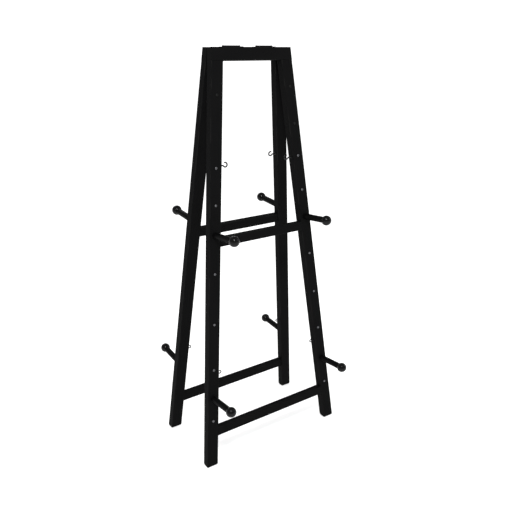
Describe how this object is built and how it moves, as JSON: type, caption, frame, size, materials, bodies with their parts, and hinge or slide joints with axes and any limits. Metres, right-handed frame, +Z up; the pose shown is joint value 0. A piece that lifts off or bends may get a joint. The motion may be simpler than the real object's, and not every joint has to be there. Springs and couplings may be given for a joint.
{
  "type": "folding gear stand",
  "caption": "Folding A-frame gear stand: two trapezoid ladder frames hinged at the top, with ball-ended pegs on the legs and small cup hooks on their inner sides.",
  "frame": {"origin": "on the floor, under the middle of the open stand", "axes": "+Z up, X along the rails, -Y the front"},
  "size_m": [0.6618, 0.6066, 1.6083],
  "materials": {
    "painted_timber": "satin black paint on planed softwood, fine grain showing through",
    "gloss_peg": "gloss black lacquer on turned hardwood",
    "plated_wire": "blackened steel wire",
    "bare_dowel": "unfinished beech",
    "foot_rubber": "matt black rubber",
    "hinge_steel": "black powder-coated steel, bare at the knuckle ends",
    "zinc_steel": "dull grey zinc-plated steel"
  },
  "bodies": {
    "front_frame": {"front_button_screws": "zinc_steel", "front_dowels": "bare_dowel", "front_foot_screws": "zinc_steel", "front_hinge_screws": "hinge_steel", "front_left_foot_pad": "foot_rubber", "front_left_hinge_leaf": "hinge_steel", "front_left_leg": "painted_timber", "front_left_lower_ball": "gloss_peg", "front_left_lower_hook": "plated_wire", "front_left_lower_peg": "gloss_peg", "front_left_upper_ball": "gloss_peg", "front_left_upper_hook": "plated_wire", "front_left_upper_peg": "gloss_peg", "front_low_rail": "painted_timber", "front_mid_rail": "painted_timber", "front_peg_studs": "zinc_steel", "front_right_foot_pad": "foot_rubber", "front_right_hinge_leaf": "hinge_steel", "front_right_leg": "painted_timber", "front_right_lower_ball": "gloss_peg", "front_right_lower_hook": "plated_wire", "front_right_lower_peg": "gloss_peg", "front_right_upper_ball": "gloss_peg", "front_right_upper_hook": "plated_wire", "front_right_upper_peg": "gloss_peg", "front_threaded_inserts": "zinc_steel", "front_top_rail": "painted_timber", "left_hinge_pin": "hinge_steel", "right_hinge_pin": "hinge_steel"},
    "back_frame": {"back_button_screws": "zinc_steel", "back_dowels": "bare_dowel", "back_foot_screws": "zinc_steel", "back_hinge_screws": "hinge_steel", "back_left_foot_pad": "foot_rubber", "back_left_hinge_leaf": "hinge_steel", "back_left_leg": "painted_timber", "back_left_lower_ball": "gloss_peg", "back_left_lower_hook": "plated_wire", "back_left_lower_peg": "gloss_peg", "back_left_upper_ball": "gloss_peg", "back_left_upper_hook": "plated_wire", "back_left_upper_peg": "gloss_peg", "back_low_rail": "painted_timber", "back_mid_rail": "painted_timber", "back_peg_studs": "zinc_steel", "back_right_foot_pad": "foot_rubber", "back_right_hinge_leaf": "hinge_steel", "back_right_leg": "painted_timber", "back_right_lower_ball": "gloss_peg", "back_right_lower_hook": "plated_wire", "back_right_lower_peg": "gloss_peg", "back_right_upper_ball": "gloss_peg", "back_right_upper_hook": "plated_wire", "back_right_upper_peg": "gloss_peg", "back_threaded_inserts": "zinc_steel", "back_top_rail": "painted_timber"}
  },
  "joints": [
    {"name": "fold", "type": "hinge", "parent": "front_frame", "child": "back_frame", "pos_m": [0, 0, 1.604], "axis": [-1, 0, 0], "range_deg": [0, 10.4]}
  ]
}
